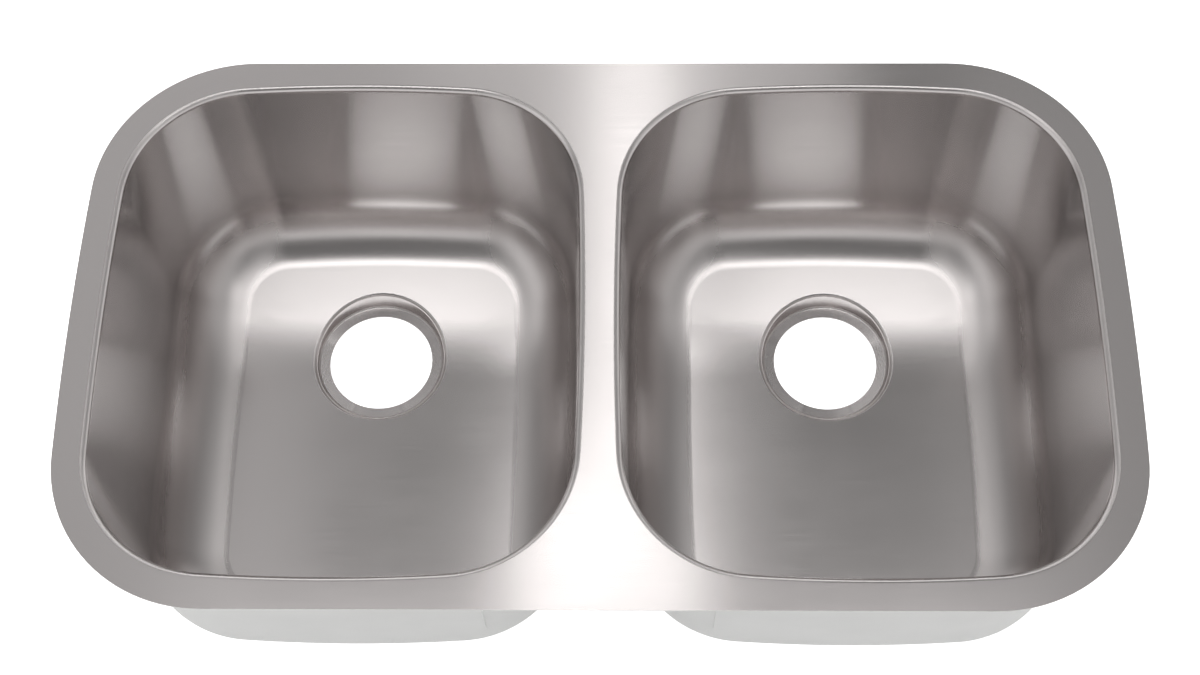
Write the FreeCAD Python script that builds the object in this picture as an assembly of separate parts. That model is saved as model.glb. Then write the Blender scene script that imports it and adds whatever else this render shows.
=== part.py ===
import FreeCAD, Part

import math
import os

from FreeCAD import Vector

# An undermount double bowl kitchen sink of stainless steel sheet.
#
# Each bowl is one deep pressing: a flat flange, a rolled rim, four drafted walls that bow
# slightly outwards, a wide cove, a floor that is level in front and rises behind the drain,
# and a stepped drain recess.
# The two pressings meet along the middle of the divider in one butt weld, ground flush on top.
# Five rubber sound pads are stuck on the outside of each bowl.
#
# Frame: millimetres, +Z up, +X to the right and +Y to the back, as a user at the front sees it.
# The origin is the middle of the flange's top face, which is the face that seals to the worktop.
# A bowl is modelled about its own middle, as the left one, and is then moved or mirrored.

INCH = 25.4

# Plan of the sink, wall to wall at the rim
BOWL_WIDTH = 14.5 * INCH  # left to right
BOWL_LENGTH = 16.5 * INCH  # front to back
DIVIDER_WIDTH = 1.25 * INCH  # between the two bowls
FLANGE_WIDTH = 1.0 * INCH  # from a wall to the flange's outer edge
CORNER_RADIUS = 98.0  # of a bowl's corners
SIDE_BOW = 3000.0  # radius of the left and right walls, which are not quite straight
END_BOW = 1400.0  # radius of the front and back walls

# Section of a pressing
SHEET = 1.2
BOWL_DEPTH = 9.0 * INCH  # from the rim to the level floor
RIM_RADIUS = 5.0  # roll from flange to wall, on the top side
WALL_DRAFT = 2.0  # degrees from upright
COVE_RADIUS = 57.0  # from wall to floor, on the inside
RISE = 12.0  # degrees, of the floor's back part
RISE_RADIUS = 300.0  # from the level floor to its rise

# Drain
DRAIN_BORE = 92.0
DRAIN_SETBACK = 136.4  # from the back wall at the rim to the drain's axis
LEVEL_BEFORE_DRAIN = 25.0  # from the end of the level floor to the drain's axis
RECESS_WIDTH = 114.0  # diameter at the level floor
RECESS_DEPTH = 5.0  # below the level floor
RECESS_DRAFT = 12.0  # degrees from upright
LIP_RADIUS = 4.0  # from the floor to the recess's wall
SEAT_RADIUS = 2.0  # from the recess's wall to its seat
SEAT_FALL = 4.0  # degrees

# Butt weld along the divider
WELD_WIDTH = 2.4
ROOT_HEIGHT = 0.6

# Rubber sound pads
PAD = 3.0
PAD_CORNER = 12.0
WALL_PAD_HEIGHT = 120.0
WALL_PAD_START = 42.0  # below the rim
END_PAD_WIDTH = 220.0
SIDE_PAD_WIDTH = 250.0
FLOOR_PAD_WIDTH = 210.0
FLOOR_PAD_LENGTH = 126.0
FLOOR_PAD_GAP = 30.0  # from the recess's wall

# Heights and plan sizes that follow from these
draft = math.radians(WALL_DRAFT)
bowl_middle = (DIVIDER_WIDTH + BOWL_WIDTH) / 2  # from the sink's middle to a bowl's
half_length = BOWL_LENGTH / 2 + FLANGE_WIDTH  # of the sink
recess_radius = RECESS_WIDTH / 2
drain_middle = BOWL_LENGTH / 2 - DRAIN_SETBACK
rise_start = drain_middle - LEVEL_BEFORE_DRAIN
rise = math.radians(RISE)

UP = Vector(0, 0, 1)


def bent_path(corners, radii, offset):
    """A path in the XZ plane through (x, z) corners, each inner one rounded, moved sideways
    by offset to the left of its direction."""
    points = [Vector(x, 0, z) for x, z in corners]
    ways = [(after - before).normalize() for before, after in zip(points, points[1:])]
    lefts = [Vector(-way.z, 0, way.x) for way in ways]
    edges = []
    last = points[0] + lefts[0] * offset
    for i, radius in enumerate(radii):
        way_in, way_out = ways[i], ways[i + 1]
        left_in, left_out = lefts[i], lefts[i + 1]
        mitre = (left_in + left_out) / (1 + left_in.dot(left_out))
        corner = points[i + 1] + mitre * offset
        side = math.copysign(1, way_out.dot(left_in))
        bend = radius - side * offset
        tangent = bend * math.tan(way_in.getAngle(way_out) / 2)
        start = corner - way_in * tangent
        end = corner + way_out * tangent
        centre = start + left_in * (side * bend)
        middle = centre + (corner - centre).normalize() * bend
        edges.append(Part.LineSegment(last, start).toShape())
        edges.append(Part.Arc(start, middle, end).toShape())
        last = end
    edges.append(Part.LineSegment(last, points[-1] + lefts[-1] * offset).toShape())
    return Part.Wire(edges)


def strip(corners, radii, inner, outer):
    """The face between two offsets of one bent path."""
    near = bent_path(corners, radii, inner)
    far = bent_path(corners, radii, outer)
    near_ends = near.OrderedVertexes
    far_ends = far.OrderedVertexes
    start = Part.LineSegment(far_ends[0].Point, near_ends[0].Point).toShape()
    end = Part.LineSegment(near_ends[-1].Point, far_ends[-1].Point).toShape()
    return Part.Face(Part.Wire([start] + near.OrderedEdges + [end] + far.OrderedEdges[::-1]))


def bowl_arcs():
    """The eight arcs of a bowl's opening at the rim, each tangent to the next, as centre,
    radius, start angle and end angle."""
    side_centre = Vector(BOWL_WIDTH / 2 - SIDE_BOW, 0, 0)
    end_centre = Vector(0, BOWL_LENGTH / 2 - END_BOW, 0)
    side_reach = SIDE_BOW - CORNER_RADIUS
    end_reach = END_BOW - CORNER_RADIUS
    span = end_centre - side_centre
    along = (side_reach**2 - end_reach**2 + span.Length**2) / (2 * span.Length)
    across = math.sqrt(side_reach**2 - along**2)
    way = Vector(span).normalize()
    corner = side_centre + way * along + Vector(-way.y, way.x, 0) * across
    side_turn = math.degrees(math.atan2(corner.y, corner.x - side_centre.x))
    end_turn = math.degrees(math.atan2(corner.y - end_centre.y, corner.x))
    return [
        (side_centre, SIDE_BOW, -side_turn, side_turn),
        (corner, CORNER_RADIUS, side_turn, end_turn),
        (end_centre, END_BOW, end_turn, 180 - end_turn),
        (Vector(-corner.x, corner.y, 0), CORNER_RADIUS, 180 - end_turn, 180 - side_turn),
        (-side_centre, SIDE_BOW, 180 - side_turn, 180 + side_turn),
        (-corner, CORNER_RADIUS, 180 + side_turn, 180 + end_turn),
        (-end_centre, END_BOW, 180 + end_turn, 360 - end_turn),
        (Vector(corner.x, -corner.y, 0), CORNER_RADIUS, 360 - end_turn, 360 - side_turn),
    ]


def bowl_outline(offset, height):
    """The face inside a bowl's opening at the rim, moved out by offset, at that height."""
    return Part.Face(Part.Wire([
        Part.makeCircle(radius + offset, centre + UP * height, UP, start, end)
        for centre, radius, start, end in bowl_arcs()
    ]))


def round_the_bowl(section):
    """The solid that a section sweeps along the bowl's outline, each arc turning it about
    its own centre. The section's x is measured outwards from the opening at the rim."""
    sectors = []
    for centre, radius, start, end in bowl_arcs():
        face = section.translated(Vector(radius, 0, 0))
        sector = face.revolve(Vector(0, 0, 0), UP, end - start)
        sector.rotate(Vector(0, 0, 0), UP, start)
        sector.translate(centre)
        sectors.append(sector)
    return sectors[0].fuse(sectors[1:])


def on_the_wall(depth):
    """Where the wall's top side, or the line it would follow, is at that depth, as (x, z)."""
    return (-depth * math.tan(draft), -depth)


def flange_outline():
    """The face inside the flange's outer edge: square at the weld, straight along the front
    and back, and parallel to the bowl's outer side."""
    outer_radius = CORNER_RADIUS + FLANGE_WIDTH
    weld_edge = (BOWL_WIDTH + DIVIDER_WIDTH - WELD_WIDTH) / 2
    side_centre = SIDE_BOW - BOWL_WIDTH / 2
    corner_y = half_length - outer_radius
    corner_x = side_centre - math.sqrt((SIDE_BOW - CORNER_RADIUS) ** 2 - corner_y**2)
    turn = math.degrees(math.atan2(corner_y, side_centre - corner_x))
    front_corner = Vector(corner_x, -corner_y, 0)
    back_corner = Vector(corner_x, corner_y, 0)
    side_middle = Vector(side_centre, 0, 0)
    back_edge = [Vector(weld_edge, half_length, 0), Vector(corner_x, half_length, 0)]
    front_edge = [Vector(corner_x, -half_length, 0), Vector(weld_edge, -half_length, 0)]
    return Part.Face(Part.Wire([
        Part.LineSegment(*back_edge).toShape(),
        Part.makeCircle(outer_radius, back_corner, UP, 90, 180 - turn),
        Part.makeCircle(SIDE_BOW + FLANGE_WIDTH, side_middle, UP, 180 - turn, 180 + turn),
        Part.makeCircle(outer_radius, front_corner, UP, 180 + turn, 270),
        Part.LineSegment(*front_edge).toShape(),
        Part.LineSegment(front_edge[1], back_edge[0]).toShape(),
    ]))


def flange():
    """The flat flange, as far as the start of the rim's roll."""
    return flange_outline().cut(bowl_outline(RIM_RADIUS, 0)).extrude(UP * -SHEET)


def rim():
    """The rim's roll and the top of the wall."""
    corners = [(RIM_RADIUS, 0), (0, 0), on_the_wall(3 * RIM_RADIUS)]
    return round_the_bowl(strip(corners, [RIM_RADIUS], 0, SHEET))


def well(out):
    """Everything inside the drafted walls, moved out by out, from below the rim's roll down
    past the floor."""
    inward = -CORNER_RADIUS / 2
    path = bent_path([on_the_wall(2 * RIM_RADIUS), on_the_wall(BOWL_DEPTH + COVE_RADIUS)], [], out)
    top, bottom = [vertex.Point for vertex in path.OrderedVertexes]
    corners = [top, bottom, Vector(inward, 0, bottom.z), Vector(inward, 0, top.z), top]
    ring = round_the_bowl(Part.Face(Part.makePolygon(corners)))
    core = bowl_outline(inward, top.z).extrude(UP * (bottom.z - top.z))
    return ring.fuse(core).removeSplitter()


def ground(out):
    """Everything below the floor's top side, moved down by out: level in front, rising
    behind."""
    reach = BOWL_LENGTH + BOWL_WIDTH
    bend = rise_start + RISE_RADIUS * math.tan(rise / 2)
    back = Vector(bend + reach * math.cos(rise), 0, reach * math.sin(rise) - BOWL_DEPTH)
    corners = [(-reach, -BOWL_DEPTH), (bend, -BOWL_DEPTH), (back.x, back.z)]
    top = bent_path(corners, [RISE_RADIUS], -out)
    front, back = [top.OrderedVertexes[i].Point for i in (0, -1)]
    below = UP * -reach
    rest = Part.makePolygon([back, back + below, front + below, front])
    section = Part.Face(Part.Wire(top.OrderedEdges + rest.Edges))
    section.rotate(Vector(0, 0, 0), UP, 90)
    section.translate(Vector(-reach / 2, 0, 0))
    return section.extrude(Vector(reach, 0, 0))


def floor_height(y, out):
    """The height at y of the floor's top side, moved down by out."""
    radius = RISE_RADIUS + out
    turn = math.asin(min(max(0, (y - rise_start) / radius), math.sin(rise)))
    beyond = max(0, y - rise_start - radius * math.sin(rise))
    return RISE_RADIUS - radius * math.cos(turn) - BOWL_DEPTH + beyond * math.tan(rise)


def recess_plug(out):
    """What fills the drain recess, moved out by out, from its seat to above the floor."""
    slope = math.tan(math.radians(RECESS_DRAFT))
    seat_radius = recess_radius - RECESS_DEPTH * slope
    seat_height = -BOWL_DEPTH - RECESS_DEPTH
    corners = [
        (recess_radius + COVE_RADIUS * slope, COVE_RADIUS - BOWL_DEPTH),
        (seat_radius, seat_height),
        (0, seat_height - seat_radius * math.tan(math.radians(SEAT_FALL))),
    ]
    wall = bent_path(corners, [SEAT_RADIUS], out)
    top, bottom = [wall.OrderedVertexes[i].Point for i in (0, -1)]
    rest = Part.makePolygon([bottom, Vector(0, 0, top.z), top])
    section = Part.Face(Part.Wire(wall.OrderedEdges + rest.Edges))
    plug = section.revolve(Vector(0, 0, 0), UP, 360)
    plug.rotate(Vector(0, 0, 0), UP, -90)
    plug.translate(Vector(0, drain_middle, 0))
    return plug


def floor_edges(shape, out, inner, outer):
    """The edges of a shape that bound the floor's top side, moved down by out, between two
    distances from the drain's axis. The floor's own bends, which cross it level, are left."""
    found = []
    for edge in shape.Edges:
        middle = edge.valueAt((edge.FirstParameter + edge.LastParameter) / 2)
        on_floor = abs(middle.z - floor_height(middle.y, out)) < 0.01
        crosses = edge.BoundBox.YLength < 0.01 and abs(middle.x) < 1
        from_drain = math.hypot(middle.x, middle.y - drain_middle)
        if on_floor and not crosses and inner < from_drain < outer:
            found.append(edge)
    return found


def basin(out):
    """The inside of a bowl below its rim, moved out by out, with the cove between its walls
    and its floor and the lip round its drain recess."""
    lip_reach = recess_radius + 3 * LIP_RADIUS
    bed = ground(out).cut(recess_plug(out))
    bed = bed.makeFillet(LIP_RADIUS - out, floor_edges(bed, out, lip_reach / 2, lip_reach))
    box = well(out).cut(bed)
    return box.makeFillet(COVE_RADIUS + out, floor_edges(box, out, lip_reach, BOWL_LENGTH))


def bowl():
    """One pressing, with its half of the divider's flange."""
    sheet = basin(SHEET).cut(basin(0))
    reach = 2 * BOWL_DEPTH
    bore = Part.makeCylinder(DRAIN_BORE / 2, reach, Vector(0, drain_middle, -reach))
    return flange().fuse([rim(), sheet.cut(bore)])


def rounded_block(size, middle, along):
    """A block about its middle, with the four edges along one direction rounded."""
    block = Part.makeBox(size.x, size.y, size.z, middle - size / 2)
    edges = [e for e in block.Edges if abs(e.Curve.Direction.dot(along)) > 0.5]
    return block.makeFillet(PAD_CORNER, edges)


def wall_pads():
    """The four pads on a bowl's walls, each cut from one layer by a block."""
    corners = [on_the_wall(0), on_the_wall(BOWL_DEPTH)]
    layer = round_the_bowl(strip(corners, [], SHEET, SHEET + PAD))
    height = -WALL_PAD_START - WALL_PAD_HEIGHT / 2
    side_size = Vector(BOWL_WIDTH / 2, SIDE_PAD_WIDTH, WALL_PAD_HEIGHT)
    end_size = Vector(END_PAD_WIDTH, BOWL_LENGTH / 2, WALL_PAD_HEIGHT)
    across = Vector(1, 0, 0)
    lengthwise = Vector(0, 1, 0)
    blocks = {
        "outer_side_pad": (side_size, Vector(-BOWL_WIDTH / 2, 0, height), across),
        "divider_side_pad": (side_size, Vector(BOWL_WIDTH / 2, 0, height), across),
        "front_pad": (end_size, Vector(0, -BOWL_LENGTH / 2, height), lengthwise),
        "back_pad": (end_size, Vector(0, BOWL_LENGTH / 2, height), lengthwise),
    }
    return {name: layer.common(rounded_block(*block)) for name, block in blocks.items()}


def floor_pad():
    """The pad under a bowl's floor, in front of the drain."""
    back = drain_middle - recess_radius - FLOOR_PAD_GAP
    middle = Vector(0, back - FLOOR_PAD_LENGTH / 2, -BOWL_DEPTH - SHEET - PAD / 2)
    return rounded_block(Vector(FLOOR_PAD_WIDTH, FLOOR_PAD_LENGTH, PAD), middle, UP)


def centre_weld():
    """The butt weld between the two pressings: flush on top, with a low root below."""
    half = WELD_WIDTH / 2
    top_left = Vector(-half, -half_length, 0)
    top_right = Vector(half, -half_length, 0)
    root_right = Vector(half, -half_length, -SHEET)
    root_left = Vector(-half, -half_length, -SHEET)
    crown = Vector(0, -half_length, -SHEET - ROOT_HEIGHT)
    sides = Part.makePolygon([root_left, top_left, top_right, root_right]).Edges
    root = Part.Arc(root_right, crown, root_left).toShape()
    section = Part.Wire(sides + [root])
    return Part.Face(section).extrude(Vector(0, 2 * half_length, 0))


def one_solid(shape):
    """The only solid in a shape, with the seams inside its faces taken out."""
    solids = shape.removeSplitter().Solids
    if len(solids) != 1 or not solids[0].isValid():
        raise ValueError(f"expected one valid solid, found {len(solids)}")
    return solids[0]


def write(name, shape):
    shape.exportStep(f"parts/{name}.step")


def main():
    os.makedirs("parts", exist_ok=True)
    pieces = {"bowl": bowl(), **wall_pads(), "floor_pad": floor_pad()}
    for name, shape in pieces.items():
        left = one_solid(shape)
        left.translate(Vector(-bowl_middle, 0, 0))
        write("left_" + name, left)
        write("right_" + name, left.mirror(Vector(0, 0, 0), Vector(1, 0, 0)))
    write("centre_weld", one_solid(centre_weld()))


main()
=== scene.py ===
import math

import bpy
from mathutils import Matrix, Vector


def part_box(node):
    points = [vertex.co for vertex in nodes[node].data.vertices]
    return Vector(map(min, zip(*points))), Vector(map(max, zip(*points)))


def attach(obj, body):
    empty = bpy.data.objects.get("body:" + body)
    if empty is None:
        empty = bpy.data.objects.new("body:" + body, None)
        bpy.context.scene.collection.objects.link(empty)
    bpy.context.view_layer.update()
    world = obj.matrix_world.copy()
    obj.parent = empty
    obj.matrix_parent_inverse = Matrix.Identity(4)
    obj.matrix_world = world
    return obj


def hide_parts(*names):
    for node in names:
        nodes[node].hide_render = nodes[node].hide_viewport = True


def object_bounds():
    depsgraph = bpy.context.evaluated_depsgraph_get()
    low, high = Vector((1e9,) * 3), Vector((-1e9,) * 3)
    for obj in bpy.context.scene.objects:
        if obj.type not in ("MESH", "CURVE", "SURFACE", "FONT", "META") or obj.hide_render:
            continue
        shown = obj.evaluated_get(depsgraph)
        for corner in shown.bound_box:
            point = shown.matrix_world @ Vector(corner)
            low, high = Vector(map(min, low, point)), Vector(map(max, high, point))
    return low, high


# Looks of the double bowl kitchen sink: smooth pressings of brushed stainless steel, a sprayed
# coat on their outside, rubber sound pads and the weld between the bowls.
#
# Metres, in the frame's own axes: +Z up, +X right, +Y back. The origin is in the middle of the
# flange's top face.

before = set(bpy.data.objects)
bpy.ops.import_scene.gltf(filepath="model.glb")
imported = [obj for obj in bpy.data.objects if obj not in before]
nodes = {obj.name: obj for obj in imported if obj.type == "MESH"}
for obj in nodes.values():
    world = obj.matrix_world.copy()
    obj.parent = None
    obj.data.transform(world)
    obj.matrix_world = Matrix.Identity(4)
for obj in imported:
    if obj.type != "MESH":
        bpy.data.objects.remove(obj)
cad_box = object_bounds()

MM = 0.001

# Brushed steel. HAIRS, STREAKS, POLISH and WAVES are noise scales, per metre.
INSIDE_COLOUR = (0.62, 0.588, 0.58)
OUTSIDE_COLOUR = (0.56, 0.55, 0.54)
INSIDE_ROUGHNESS = 0.2
OUTSIDE_ROUGHNESS = 0.3
INSIDE_UNEVEN = 0.02  # of the roughness, by polish and by streaks
OUTSIDE_UNEVEN = 0.04
INSIDE_GRAIN = 0.001 * MM  # height of the brush lines
OUTSIDE_GRAIN = 0.002 * MM
ANISOTROPY = 0.65
WALL_ANISOTROPY = 1.0
ACROSS_THE_BRUSH = 0.25  # of a turn
WALL_ROUGHER = 0.05
SIDE_COVE_ROUGHER = 0.15  # where the left and right coves and rolls turn
WALL_FADE = (0.06, 0.3)  # upward part of the normal, from wall to roll or cove
SIDE_COVE_FADE = (0.0, 0.15)  # sideways part of the normal, from floor to cove
HAIRS, HAIR_STRETCH = 1800, 0.03
STREAKS, STREAK_STRETCH = 300, 0.05
POLISH = 14
WAVES = 7
WAVE_HEIGHT = 0.25 * MM

# Surface of the sprayed coat and of the coated rubber
COAT_DARKEST = (0.74, 0.74, 0.73, 1)
COAT_PALEST = (0.82, 0.82, 0.81, 1)
COAT_ROUGHNESS = 0.7
COAT_PATCHES = 18
COAT_PEBBLES, COAT_PEBBLE_HEIGHT = 420, 0.8 * MM
RUBBER_PEBBLES, RUBBER_PEBBLE_HEIGHT = 900, 0.2 * MM
PEBBLE_STRENGTH = 0.7

# A pressing, as the frame's bowls have it
FLANGE_WIDTH = 25.4 * MM
DIVIDER_WIDTH = 31.75 * MM
CORNER_RADIUS = 98 * MM
SIDE_BOW = 3000 * MM
END_BOW = 1400 * MM
SHEET = 1.2 * MM
RIM_RADIUS = 5 * MM
WALL_DRAFT = math.radians(2)
COVE_RADIUS = 57 * MM
RISE_RADIUS = 300 * MM
RISE = math.radians(12)
BOWL_DEPTH = 228.6 * MM
DRAIN_BORE = 92 * MM
DRAIN_SETBACK = 136.4 * MM
LEVEL_BEFORE_DRAIN = 25 * MM
RECESS_WIDTH = 114 * MM
RECESS_DEPTH = 5 * MM
RECESS_DRAFT = math.radians(12)
LIP_RADIUS = 4 * MM
SEAT_RADIUS = 2 * MM
SEAT_FALL = math.radians(4)

# Shape of the sprayed coat
COAT = 0.8 * MM
COAT_START = 24 * MM  # below the rim
COAT_WANDER = 2.5 * MM  # of its top edge
WANDER_WAVES = ((3, 1, 1.0), (7, 4, 0.6), (16, 0, 0.4))  # waves round the bowl, phase, share
COAT_MARGIN = 8 * MM  # left bare round the drain's lip

# Fineness of the meshes
CORNER_STEPS = 26
SIDE_STEPS = 18
END_STEPS = 14
BEND_STEP = math.radians(4.5)
WALL_STEPS = 14
FLANGE_STEPS = 3
FLOOR_STEPS = 20
SEAT_STEPS = 3
BALL_TRIES = 12

# Studio
CEILING = 3.0
ROOM_REACH = 7.5
FLOOR_SIZE = 30
FLOOR_COLOUR = (0.9, 0.9, 0.9, 1)
FLOOR_ROUGHNESS = 0.9
WHITE = (1, 1, 1, 1)
WORLD_STRENGTH = 0.17
# Lamps in the ceiling: left, right, front and back edge as shares of its height, and radiance
CEILING_LAMPS = {
    "divider_strip": (-0.02, 0.05, 0.2, 0.85, 2.2),
    "divider_key": (-0.08, 0.07, 0.2, 0.36, 3.4),
    "flange_left": (-0.7, -0.28, 0.15, 0.85, 0.35),
    "flange_right": (0.3, 0.7, 0.15, 0.85, 0.2),
    "overhead": (-0.35, 0.36, -0.1, 0.05, 2.8),
    "overhead_left": (-0.35, -0.1, 0.05, 0.2, 1.3),
    "overhead_right": (0.12, 0.36, 0.05, 0.2, 1.3),
    "over_the_front": (-0.1, 0.12, -0.55, -0.1, 0.5),
    "over_the_back": (-0.2, 0.22, 0.65, 1.3, 0.55),
    "over_the_back_left": (-0.7, -0.2, 0.5, 1.3, 0.35),
    "far_back": (-2.5, 2.5, 1.3, 2.5, 1.6),
    "far_front": (-2.5, 2.5, -2.5, -1.2, 0.75),
    "far_left": (-2.5, -0.7, -1.2, 0.35, 0.85),
    "far_right": (0.7, 2.5, -1.2, 0.35, 0.5),
}
# Lamps upright along the walls: the way that they shine, and radiance
WALL_LAMPS = {
    "front_wall": ((0, 1, 0), 0.8),
    "left_wall": ((1, 0, 0), 0.75),
    "right_wall": ((-1, 0, 0), 1.05),
}

# Camera, fitted to the photograph's outlines in its own 1200 by 675 pixels
PHOTO_WIDTH = 1200
SENSOR_WIDTH = 36
FOCAL_PIXELS = 1840.4
CAMERA_AZIMUTH = math.radians(1.639)
CAMERA_ELEVATION = math.radians(63.635)
CAMERA_DISTANCE = 1409.2 * MM
CAMERA_TARGET = Vector((0.588 * MM, -17.895 * MM, 0))
CAMERA_ROLL = math.radians(-1.387)

left_low, left_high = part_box("left_bowl")
half_length = left_high.y
bowl_length = 2 * (half_length - FLANGE_WIDTH)
weld_edge = -left_high.x
bowl_middle = (DIVIDER_WIDTH / 2 - FLANGE_WIDTH - left_low.x) / 2
bowl_width = 2 * bowl_middle - DIVIDER_WIDTH
recess_radius = RECESS_WIDTH / 2
drain_middle = bowl_length / 2 - DRAIN_SETBACK
rise_start = drain_middle - LEVEL_BEFORE_DRAIN


def bent_path(corners, radii, straight_steps):
    """Points along a path through (x, z) corners whose inner ones are rounded, each as
    (x, z, normal x, normal z, length so far). The normal points to the right of the path."""
    points = [Vector(c) for c in corners]
    ways = [(after - before).normalized() for before, after in zip(points, points[1:])]
    samples = []

    def add(point, way):
        samples.append((point.x, point.y, way.y, -way.x))

    last = points[0]
    for i, way in enumerate(ways):
        if i < len(radii):
            turn = way.angle(ways[i + 1])
            tangent = radii[i] * math.tan(turn / 2)
            start = points[i + 1] - way * tangent
        else:
            start = points[-1]
        for k in range(straight_steps[i] + (i == len(radii))):
            add(last.lerp(start, k / straight_steps[i]), way)
        if i == len(radii):
            break
        side = math.copysign(1, way.x * ways[i + 1].y - way.y * ways[i + 1].x)
        centre = start + Vector((-way.y, way.x)) * side * radii[i]
        steps = max(2, round(turn / BEND_STEP))
        for k in range(steps):
            spin = Matrix.Rotation(side * turn * k / steps, 2)
            add(centre + spin @ (start - centre), spin @ way)
        last = points[i + 1] + ways[i + 1] * tangent
    length = 0
    measured = []
    for before, sample in zip(samples[:1] + samples, samples):
        length += math.dist(before[:2], sample[:2])
        measured.append(sample + (length,))
    return measured


def bowl_arcs():
    """The arcs of a bowl's opening at the rim, as centre, radius, start angle, end angle
    and number of steps."""
    side = Vector((bowl_width / 2 - SIDE_BOW, 0))
    end = Vector((0, bowl_length / 2 - END_BOW))
    side_reach = SIDE_BOW - CORNER_RADIUS
    end_reach = END_BOW - CORNER_RADIUS
    span = end - side
    along = (side_reach**2 - end_reach**2 + span.length_squared) / (2 * span.length)
    across = math.sqrt(side_reach**2 - along**2)
    way = span.normalized()
    corner = side + way * along + Vector((-way.y, way.x)) * across
    low = math.atan2(corner.y, corner.x - side.x)
    high = math.atan2(corner.y - end.y, corner.x)
    flip = Vector((-corner.x, corner.y))
    return [
        (side, SIDE_BOW, -low, low, SIDE_STEPS),
        (corner, CORNER_RADIUS, low, high, CORNER_STEPS),
        (end, END_BOW, high, math.pi - high, END_STEPS),
        (flip, CORNER_RADIUS, math.pi - high, math.pi - low, CORNER_STEPS),
        (-side, SIDE_BOW, math.pi - low, math.pi + low, SIDE_STEPS),
        (-corner, CORNER_RADIUS, math.pi + low, math.pi + high, CORNER_STEPS),
        (-end, END_BOW, math.pi + high, math.tau - high, END_STEPS),
        (-flip, CORNER_RADIUS, math.tau - high, math.tau - low, CORNER_STEPS),
    ]


def bowl_columns():
    """Points round a bowl's opening at the rim, each as (point, outward way, length so far)."""
    columns = []
    length = 0
    for centre, radius, start, end, steps in bowl_arcs():
        for k in range(steps):
            angle = start + (end - start) * k / steps
            way = Vector((math.cos(angle), math.sin(angle)))
            columns.append((centre + way * radius, way, length))
            length += radius * (end - start) / steps
    return columns, length


def flange_edge():
    """The flange's outer edge, one point for each column of the bowl."""
    outer = CORNER_RADIUS + FLANGE_WIDTH
    side = SIDE_BOW - bowl_width / 2
    weld = bowl_middle - weld_edge
    corner_y = half_length - outer
    corner_x = side - math.sqrt((SIDE_BOW - CORNER_RADIUS) ** 2 - corner_y**2)
    turn = math.atan2(corner_y, side - corner_x)
    arcs = bowl_arcs()
    side_end = arcs[0][0] + Vector((math.cos(arcs[0][3]), math.sin(arcs[0][3]))) * SIDE_BOW
    back_end = arcs[2][0] + Vector((math.cos(arcs[2][2]), math.sin(arcs[2][2]))) * END_BOW

    def straight(start, end, steps):
        return [start.lerp(end, k / steps) for k in range(steps)]

    def arc(centre, radius, start, end, steps):
        angles = [start + (end - start) * k / steps for k in range(steps)]
        return [centre + Vector((math.cos(a), math.sin(a))) * radius for a in angles]

    half = CORNER_STEPS // 2
    weld_back = Vector((weld, side_end.y))
    back_weld = Vector((weld, half_length))
    back = Vector((back_end.x, half_length))
    corner = Vector((corner_x, corner_y))
    points = straight(Vector((weld, -side_end.y)), weld_back, SIDE_STEPS)
    points += straight(weld_back, back_weld, half)
    points += straight(back_weld, back, CORNER_STEPS - half)
    points += straight(back, Vector((corner_x, half_length)), END_STEPS)
    points += arc(corner, outer, math.pi / 2, math.pi - turn, CORNER_STEPS)
    reach = SIDE_BOW + FLANGE_WIDTH
    points += arc(Vector((side, 0)), reach, math.pi - turn, math.pi + turn, SIDE_STEPS)
    front_corner = Vector((corner_x, -corner_y))
    points += arc(front_corner, outer, math.pi + turn, 1.5 * math.pi, CORNER_STEPS)
    front = Vector((back_end.x, -half_length))
    points += straight(Vector((corner_x, -half_length)), front, END_STEPS)
    points += straight(front, Vector((weld, -half_length)), CORNER_STEPS - half)
    points += straight(Vector((weld, -half_length)), Vector((weld, -side_end.y)), half)
    return points


def above_floor(y, gap):
    """The height and the normal, at y, of the surface that lies above the floor by gap."""
    radius = RISE_RADIUS - gap
    bend = min(max(0, (y - rise_start) / radius), math.sin(RISE))
    angle = math.asin(bend)
    height = RISE_RADIUS - radius * math.cos(angle) - BOWL_DEPTH
    beyond = max(0, y - rise_start - radius * math.sin(RISE))
    return height + beyond * math.tan(RISE), Vector((0, -math.sin(angle), math.cos(angle)))


def ball_on_floor(start, way, side_x, slope, radius):
    """The middle of a ball that rests on the floor, or with a negative radius lies below it,
    somewhere on a line that leans in a way from start, and the floor's normal there."""
    height = radius - BOWL_DEPTH
    for _ in range(BALL_TRIES):
        middle = start + way * (side_x + slope * height)
        height, normal = above_floor(middle.y, radius)
    return Vector((*middle, height)), normal


def turned_between(first, last, share):
    """A direction part of the way from one to another."""
    return Matrix.Rotation(first.angle(last) * share, 3, first.cross(last)) @ first


def rolled_rows(balls, radius, length_from):
    """Rows of (point, normal, length) over balls given as (middle, first normal, last
    normal). A positive radius is hollow, a negative one is rounded over."""
    widest = max(first.angle(last) for _, first, last in balls)
    steps = max(2, round(widest / BEND_STEP))
    rows = []
    for k in range(steps + 1):
        row = []
        for (middle, first, last), length in zip(balls, length_from):
            normal = turned_between(first, last, k / steps)
            run = abs(radius) * first.angle(last) * k / steps
            row.append((middle - normal * radius, normal, length + run))
        rows.append(row)
    return rows


def rows_between(first, last, steps):
    """The rows strictly between two rows, in even steps on straight lines."""
    rows = []
    for k in range(1, steps):
        rows.append([
            (a[0].lerp(b[0], k / steps), a[1], a[2] + (b[2] - a[2]) * k / steps)
            for a, b in zip(first, last)
        ])
    return rows


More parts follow.
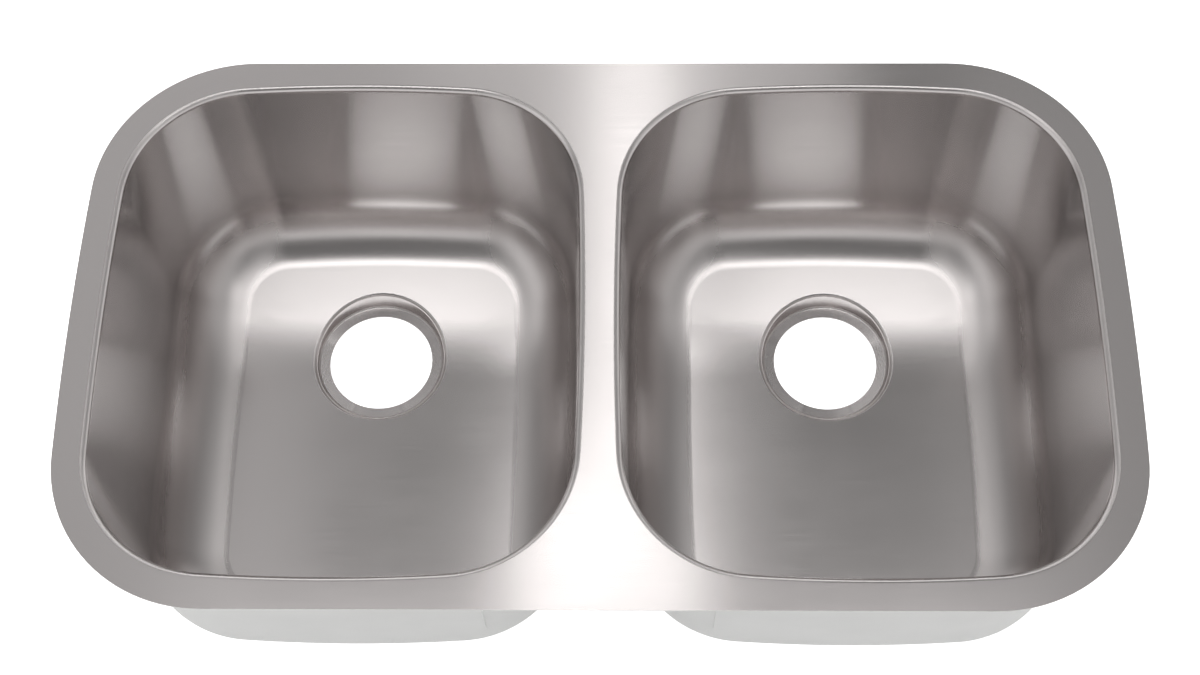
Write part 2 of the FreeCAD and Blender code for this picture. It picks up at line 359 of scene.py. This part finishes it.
def rim_rows(columns):
    """The rim's roll and the start of the wall."""
    lean = math.tan(WALL_DRAFT)
    corners = [(RIM_RADIUS, 0), (0, 0), (-2 * RIM_RADIUS * lean, -2 * RIM_RADIUS)]
    return [
        [
            (Vector((*point + way * x, z)), Vector((*way * normal_x, normal_z)), length)
            for point, way, _ in columns
        ]
        for x, z, normal_x, normal_z, length in bent_path(corners, [RIM_RADIUS], [1, 1])
    ]


def cove_rows(columns, wall_row):
    """The cove: a ball rolled along the foot of the walls."""
    aside = -COVE_RADIUS / math.cos(WALL_DRAFT)
    balls = []
    lengths = []
    for (point, way, _), (end, normal, length) in zip(columns, wall_row):
        middle, floor_normal = ball_on_floor(point, way, aside, math.tan(WALL_DRAFT), COVE_RADIUS)
        balls.append((middle, normal, floor_normal))
        lengths.append(length + (middle - normal * COVE_RADIUS - end).length)
    return rolled_rows(balls, COVE_RADIUS, lengths)


def drain_ways(foot):
    """The way from the drain's axis to each point on the foot of the cove."""
    drain = Vector((0, drain_middle))
    return [(point.xy - drain).normalized() for point, _, _ in foot]


def lip_rows(foot):
    """The lip of the drain's recess: a ball rolled round under the floor."""
    lean = math.tan(RECESS_DRAFT)
    aside = recess_radius + BOWL_DEPTH * lean + LIP_RADIUS / math.cos(RECESS_DRAFT)
    drain = Vector((0, drain_middle))
    balls = []
    lengths = []
    for (point, _, length), way in zip(foot, drain_ways(foot)):
        middle, floor_normal = ball_on_floor(drain, way, aside, lean, -LIP_RADIUS)
        inward = Vector((*-way * math.cos(RECESS_DRAFT), math.sin(RECESS_DRAFT)))
        balls.append((middle, floor_normal, inward))
        lengths.append(length + (point - middle).length)
    return rolled_rows(balls, -LIP_RADIUS, lengths)


def laid_on_floor(row):
    """A row moved straight up or down onto the floor."""
    laid = []
    for place, _, length in row:
        height, normal = above_floor(place.y, 0)
        laid.append((Vector((*place.xy, height)), normal, length))
    return laid


def floor_rows(foot, lip):
    """The floor, from the foot of the cove to the lip."""
    return [laid_on_floor(row) for row in rows_between(foot, lip, FLOOR_STEPS)]


def seat_rows(foot, lip_end):
    """The recess's wall and seat, down to the bore."""
    seat_radius = recess_radius - RECESS_DEPTH * math.tan(RECESS_DRAFT)
    seat_height = -BOWL_DEPTH - RECESS_DEPTH
    bore = DRAIN_BORE / 2
    corners = [
        (recess_radius, -BOWL_DEPTH),
        (seat_radius, seat_height),
        (bore, seat_height - (seat_radius - bore) * math.tan(SEAT_FALL)),
    ]
    profile = bent_path(corners, [SEAT_RADIUS], [1, SEAT_STEPS])
    drain = Vector((0, drain_middle))
    return [
        [
            (Vector((*drain + way * x, z)), Vector((*way * normal_x, normal_z)), start + length)
            for way, (_, _, start) in zip(drain_ways(foot), lip_end)
        ]
        for x, z, normal_x, normal_z, length in profile[1:]
    ]


def pressing_rows():
    """All rows of a pressing's top side, from the flange's outer edge to the drain's bore,
    each point with its normal and its length along the way down, and whether the strip
    after each row is brushed straight across instead of round the bowl."""
    columns, _ = bowl_columns()
    edge = [
        (Vector((*point, 0)), Vector((0, 0, 1)), -(point - column[0]).length)
        for point, column in zip(flange_edge(), columns)
    ]
    rim = rim_rows(columns)
    flange = [edge] + rows_between(edge, rim[0], FLANGE_STEPS)
    cove = cove_rows(columns, rim[-1])
    walls = rim + rows_between(rim[-1], cove[0], WALL_STEPS) + cove
    lip = lip_rows(cove[-1])
    floor = floor_rows(cove[-1], lip[0])
    drain = lip + seat_rows(cove[-1], lip[-1])
    straight_brushed = [True] * len(flange) + [False] * (len(walls) - 1)
    straight_brushed += [True] * (len(floor) + 1) + [False] * (len(drain) - 1)
    return flange + walls + floor + drain, straight_brushed


def coated_rows():
    """The rows of a pressing's top side over the part whose outside is sprayed, from a
    wandering edge on the wall to the drain."""
    columns, perimeter = bowl_columns()
    rim = rim_rows(columns)
    cove = cove_rows(columns, rim[-1])
    start = []
    for (point, way, length), (_, normal, _) in zip(columns, rim[-1]):
        turn = math.tau * length / perimeter
        wander = sum(share * math.sin(n * turn + phase) for n, phase, share in WANDER_WAVES)
        depth = COAT_START + COAT_WANDER * wander / 2
        place = Vector((*point - way * depth * math.tan(WALL_DRAFT), -depth))
        start.append((place, normal, depth))
    edge = laid_on_floor([
        (point + Vector((*way, 0)) * COAT_MARGIN, normal, length - COAT_MARGIN)
        for (point, normal, length), way in zip(lip_rows(cove[-1])[0], drain_ways(cove[-1]))
    ])
    walls = [start] + rows_between(start, cove[0], WALL_STEPS)
    return walls + cove + floor_rows(cove[-1], edge) + [edge]


def underside(rows, thickness):
    """The rows of the lower side of a sheet."""
    return [[(p - n * thickness, n, length) for p, n, length in row] for row in rows]


def shell_mesh(name, top, bottom, straight_brushed, middle_x, mirrored):
    """A closed shell between two grids of rows, with a band along its first and last row.
    Grid normals point up and inwards, so the bottom grid's are reversed."""
    count = len(top[0])
    rows = len(top)
    columns, perimeter = bowl_columns()
    lengths = [length for _, _, length in columns] + [perimeter]
    vertices = []
    flip = -1 if mirrored else 1
    for grid in (top, bottom):
        for row in grid:
            vertices += [(flip * (p.x - middle_x), p.y, p.z) for p, _, _ in row]
    faces = []
    normals = []
    uvs = []
    materials = []

    def corner(grid, side, r, c, straight, normal=None):
        point, grid_normal, length = grid[r][c % count]
        way = normal or grid_normal * (1 if side == 0 else -1)
        return (
            side * rows * count + r * count + c % count,
            (flip * way.x, way.y, way.z),
            (flip * point.x, point.y) if straight else (lengths[c], length),
        )

    def face(corners, material):
        if mirrored:
            corners = corners[::-1]
        faces.append([index for index, _, _ in corners])
        normals.extend(normal for _, normal, _ in corners)
        uvs.extend(uv for _, _, uv in corners)
        materials.append(material)

    for c in range(count):
        for r in range(rows - 1):
            quad = [(r, c), (r, c + 1), (r + 1, c + 1), (r + 1, c)]
            straight = straight_brushed[r]
            face([corner(top, 0, *place, straight) for place in quad], 0)
            face([corner(bottom, 1, *place, straight) for place in quad[::-1]], 1)
        for r, turn in ((0, 1), (rows - 1, -1)):
            a, b = top[r][c][0], top[r][(c + 1) % count][0]
            out = Vector((b.y - a.y, a.x - b.x, 0)).normalized() * turn
            band = [
                corner(bottom, 1, r, c, False, out),
                corner(bottom, 1, r, c + 1, False, out),
                corner(top, 0, r, c + 1, False, out),
                corner(top, 0, r, c, False, out),
            ]
            face(band[::turn], 1)

    mesh = bpy.data.meshes.new(name)
    mesh.from_pydata(vertices, [], faces)
    mesh.polygons.foreach_set("material_index", materials)
    layer = mesh.uv_layers.new(name="brush")
    layer.data.foreach_set("uv", [value for uv in uvs for value in uv])
    mesh.shade_smooth()
    mesh.normals_split_custom_set(normals)
    mesh.update()
    return mesh


def add_piece(name, mesh, materials):
    """A new piece that rides on the body, with a material for its top and one below."""
    piece = bpy.data.objects.new(name, mesh)
    bpy.context.scene.collection.objects.link(piece)
    for material in materials:
        mesh.materials.append(material)
    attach(piece, "root")
    return piece


# Materials


def new_material(name):
    material = bpy.data.materials.new(name)
    material.use_nodes = True
    tree = material.node_tree
    return material, tree, tree.nodes["Principled BSDF"]


def add_node(tree, kind, **inputs):
    """A new node; each keyword sets the socket of that name, with _ for a space, or links it
    if the value is a socket."""
    node = tree.nodes.new(kind)
    for key, value in inputs.items():
        socket = node.inputs[key.replace("_", " ")]
        if isinstance(value, bpy.types.NodeSocket):
            tree.links.new(value, socket)
        else:
            socket.default_value = value
    return node


def stretched(tree, source, scale):
    """Coordinates stretched by a scale on each axis."""
    mapping = add_node(tree, "ShaderNodeMapping", Vector=source, Scale=scale)
    return mapping.outputs["Vector"]


def noise(tree, vector, scale, detail, roughness=0.5):
    node = add_node(
        tree, "ShaderNodeTexNoise", Vector=vector, Scale=scale, Detail=detail, Roughness=roughness
    )
    return node.outputs["Fac"]


def ranged(tree, value, low, high, from_low=0.0, from_high=1.0):
    """A value between two limits, spread from low to high."""
    node = add_node(tree, "ShaderNodeMapRange", Value=value, To_Min=low, To_Max=high)
    node.inputs["From Min"].default_value = from_low
    node.inputs["From Max"].default_value = from_high
    return node.outputs["Result"]


def maths(tree, operation, *values):
    node = tree.nodes.new("ShaderNodeMath")
    node.operation = operation
    for socket, value in zip(node.inputs, values):
        if isinstance(value, bpy.types.NodeSocket):
            tree.links.new(value, socket)
        else:
            socket.default_value = value
    return node.outputs["Value"]


def bump(tree, height, distance, strength, normal=None):
    node = add_node(tree, "ShaderNodeBump", Height=height, Distance=distance, Strength=strength)
    if normal:
        tree.links.new(normal, node.inputs["Normal"])
    return node.outputs["Normal"]


def steel(name, colour, roughness, spread, grain, has_brush_uvs=True):
    """Brushed stainless steel. Its reflections smear across the brush lines, most on the upright
    walls, over slow waves in the sheet and uneven polish. The lines follow the brush UVs, or
    cross the sink on a piece without them, and the coves at the left and right are rougher."""
    material, tree, shader = new_material(name)
    place = add_node(tree, "ShaderNodeTexCoord").outputs["Object"]
    uv = add_node(tree, "ShaderNodeUVMap").outputs["UV"] if has_brush_uvs else place
    hairs = noise(tree, stretched(tree, uv, (HAIR_STRETCH, 1, 1)), HAIRS, 2)
    streaks = noise(tree, stretched(tree, uv, (STREAK_STRETCH, 1, 1)), STREAKS, 3)
    polish = noise(tree, place, POLISH, 3)
    waves = noise(tree, place, WAVES, 1)
    facing = add_node(tree, "ShaderNodeNewGeometry").outputs["Normal"]
    split = add_node(tree, "ShaderNodeSeparateXYZ", Vector=facing)
    level = maths(tree, "ABSOLUTE", split.outputs["Z"])
    shader.inputs["Base Color"].default_value = (*colour, 1)
    shader.inputs["Metallic"].default_value = 1
    smear = ranged(tree, level, WALL_ANISOTROPY, ANISOTROPY, *WALL_FADE)
    tree.links.new(smear, shader.inputs["Anisotropic"])
    shader.inputs["Anisotropic Rotation"].default_value = ACROSS_THE_BRUSH
    tangent = tree.nodes.new("ShaderNodeTangent")
    tangent.direction_type = "UV_MAP" if has_brush_uvs else "RADIAL"
    tangent.axis = "Y"
    tree.links.new(tangent.outputs["Tangent"], shader.inputs["Tangent"])
    rough = ranged(tree, level, roughness + WALL_ROUGHER, roughness, *WALL_FADE)
    sideways = maths(tree, "ABSOLUTE", split.outputs["X"])
    soft = ranged(tree, sideways, 0, SIDE_COVE_ROUGHER, *SIDE_COVE_FADE)
    rough = maths(tree, "ADD", rough, maths(tree, "MULTIPLY", soft, level))
    for unevenness in (polish, streaks):
        rough = maths(tree, "ADD", rough, ranged(tree, unevenness, -spread, spread))
    tree.links.new(rough, shader.inputs["Roughness"])
    wavy = bump(tree, waves, WAVE_HEIGHT, 1.0)
    fine = bump(tree, hairs, grain, 1.0, wavy)
    tree.links.new(fine, shader.inputs["Normal"])
    return material


def sprayed(name, pebble_height, pebble_scale):
    """A pale sprayed coat with a pebbled surface and paler patches."""
    material, tree, shader = new_material(name)
    place = add_node(tree, "ShaderNodeTexCoord").outputs["Object"]
    pebbles = noise(tree, place, pebble_scale, 3, 0.6)
    patches = noise(tree, place, COAT_PATCHES, 3)
    mix = add_node(tree, "ShaderNodeMix")
    mix.data_type = "RGBA"
    share, darkest, palest = (mix.inputs[k] for k in (0, 6, 7))  # those of a colour mix
    darkest.default_value = COAT_DARKEST
    palest.default_value = COAT_PALEST
    tree.links.new(patches, share)
    tree.links.new(mix.outputs[2], shader.inputs["Base Color"])
    shader.inputs["Roughness"].default_value = COAT_ROUGHNESS
    pebbled = bump(tree, pebbles, pebble_height, PEBBLE_STRENGTH)
    tree.links.new(pebbled, shader.inputs["Normal"])
    return material


inside = (INSIDE_COLOUR, INSIDE_ROUGHNESS, INSIDE_UNEVEN, INSIDE_GRAIN)
outside = (OUTSIDE_COLOUR, OUTSIDE_ROUGHNESS, OUTSIDE_UNEVEN, OUTSIDE_GRAIN)
inside_steel = steel("inside_steel", *inside)
outside_steel = steel("outside_steel", *outside)
weld_steel = steel("weld_steel", *inside, has_brush_uvs=False)
coated_rubber = sprayed("coated_rubber", RUBBER_PEBBLE_HEIGHT, RUBBER_PEBBLES)
sprayed_coat = sprayed("sprayed_coat", COAT_PEBBLE_HEIGHT, COAT_PEBBLES)


def make_bowls():
    top, straight_brushed = pressing_rows()
    bottom = underside(top, SHEET)
    coated = coated_rows()
    under_coat = underside(coated, SHEET)
    coat = underside(coated, SHEET + COAT)
    all_round = [False] * len(coated)
    for side, mirrored in (("left", False), ("right", True)):
        name = f"{side}_pressing"
        mesh = shell_mesh(name, top, bottom, straight_brushed, bowl_middle, mirrored)
        piece = add_piece(name, mesh, [inside_steel, outside_steel])
        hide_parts(f"{side}_bowl")
        name = f"{side}_sprayed_coat"
        mesh = shell_mesh(name, under_coat, coat, all_round, bowl_middle, mirrored)
        add_piece(name, mesh, [sprayed_coat, sprayed_coat])


def dress_nodes():
    """Materials for the pieces that keep their own shape."""
    dress = {name: coated_rubber for name in nodes if name.endswith("_pad")}
    dress["centre_weld"] = weld_steel
    for name, material in dress.items():
        nodes[name].data.materials.clear()
        nodes[name].data.materials.append(material)


# Stage


def make_floor():
    """A pale floor that the object stands on, white to the eye, in gloss and through glass."""
    bpy.ops.mesh.primitive_plane_add(size=FLOOR_SIZE, location=(0, 0, cad_box[0].z))
    floor = bpy.context.object
    floor.name = "floor"
    material, tree, shader = new_material("floor")
    shader.inputs["Base Color"].default_value = FLOOR_COLOUR
    shader.inputs["Roughness"].default_value = FLOOR_ROUGHNESS
    shader.inputs["Specular IOR Level"].default_value = 0
    shader.inputs["Emission Color"].default_value = WHITE
    path = add_node(tree, "ShaderNodeLightPath").outputs
    glow = maths(tree, "MAXIMUM", path["Is Camera Ray"], path["Is Glossy Ray"])
    glow = maths(tree, "MAXIMUM", glow, path["Is Transmission Ray"])
    tree.links.new(glow, shader.inputs["Emission Strength"])
    floor.data.materials.append(material)


def make_world():
    world = bpy.data.worlds.new("studio")
    bpy.context.scene.world = world
    world.use_nodes = True
    background = world.node_tree.nodes["Background"]
    background.inputs["Color"].default_value = WHITE
    background.inputs["Strength"].default_value = WORLD_STRENGTH


def lamp(name, place, size, way, strength):
    """A rectangular soft light that shines in a way; strength is its radiance."""
    data = bpy.data.lights.new(name, "AREA")
    data.shape = "RECTANGLE"
    data.size, data.size_y = size
    data.energy = strength * math.pi * size[0] * size[1]
    light = bpy.data.objects.new(name, data)
    light.location = place
    light.rotation_mode = "QUATERNION"
    light.rotation_quaternion = Vector(way).to_track_quat("-Z", "Y")
    bpy.context.scene.collection.objects.link(light)


def make_lamps():
    for name, (left, right, front, back, strength) in CEILING_LAMPS.items():
        middle = Vector(((left + right) / 2, (front + back) / 2, 1)) * CEILING
        size = ((right - left) * CEILING, (back - front) * CEILING)
        lamp(name, middle, size, (0, 0, -1), strength)
    for name, (way, strength) in WALL_LAMPS.items():
        middle = Vector((0, 0, CEILING / 2)) - Vector(way) * ROOM_REACH
        lamp(name, middle, (2 * ROOM_REACH, CEILING), way, strength)


def make_camera():
    data = bpy.data.cameras.new("camera")
    data.sensor_width = SENSOR_WIDTH
    data.lens = SENSOR_WIDTH * FOCAL_PIXELS / PHOTO_WIDTH
    camera = bpy.data.objects.new("camera", data)
    back = Vector((
        math.sin(CAMERA_AZIMUTH) * math.cos(CAMERA_ELEVATION),
        -math.cos(CAMERA_AZIMUTH) * math.cos(CAMERA_ELEVATION),
        math.sin(CAMERA_ELEVATION),
    ))
    right = Vector((0, 0, 1)).cross(back).normalized()
    up = back.cross(right)
    turn = Matrix((right, up, back)).transposed()
    roll = Matrix.Rotation(CAMERA_ROLL, 3, "Z")
    camera.matrix_world = Matrix.LocRotScale(
        CAMERA_TARGET + back * CAMERA_DISTANCE, (turn @ roll).to_quaternion(), None
    )
    bpy.context.scene.collection.objects.link(camera)
    bpy.context.scene.camera = camera


make_bowls()
dress_nodes()
make_floor()
make_world()
make_lamps()
make_camera()
bpy.context.scene.view_settings.view_transform = "Standard"
